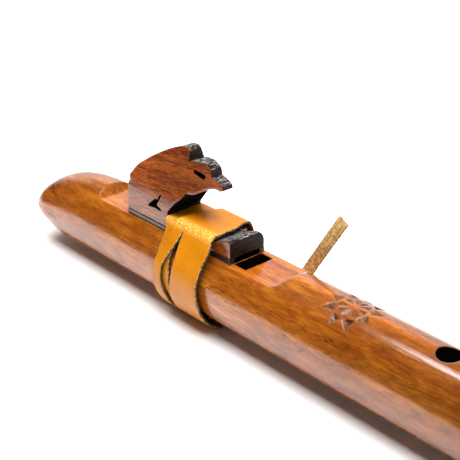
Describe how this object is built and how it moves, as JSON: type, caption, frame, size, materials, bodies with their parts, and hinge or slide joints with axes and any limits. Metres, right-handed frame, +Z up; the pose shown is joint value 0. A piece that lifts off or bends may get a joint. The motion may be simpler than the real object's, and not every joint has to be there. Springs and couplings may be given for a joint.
{
  "type": "native american flute",
  "caption": "End-blown two-chamber wooden flute with a carved animal block tied over its nest by a flat leather lace.",
  "frame": {"origin": "under the middle of the instrument, on the surface that it lies on, with the knot left out", "axes": "+X runs along the tube from the mouth end to the foot, +Z is up through the finger holes, +Y is the side with the knot"},
  "size_m": [0.4828, 0.0433, 0.067],
  "materials": {
    "body_wood": "gloss lacquer",
    "plate_wood": "blackened, satin",
    "block_wood": "satin lacquer, burnt black on the cut edges",
    "lace_leather": "smooth oiled top with rough dark cut edges",
    "lace_suede": "napped flesh side"
  },
  "bodies": {
    "tube": {"upper_body_half": "body_wood", "lower_body_half": "body_wood", "spacer_plate": "plate_wood"},
    "tied_block": {"bear_block": "block_wood", "lace_wrap": "lace_leather", "lace_knot": "lace_leather", "lace_tail_upright": "lace_suede", "lace_tail_lying": "lace_leather"}
  },
  "joints": [
    {"name": "block_slide", "type": "slide", "parent": "tube", "child": "tied_block", "axis": [-1, 0, 0], "range_m": [0, 0.008]}
  ]
}
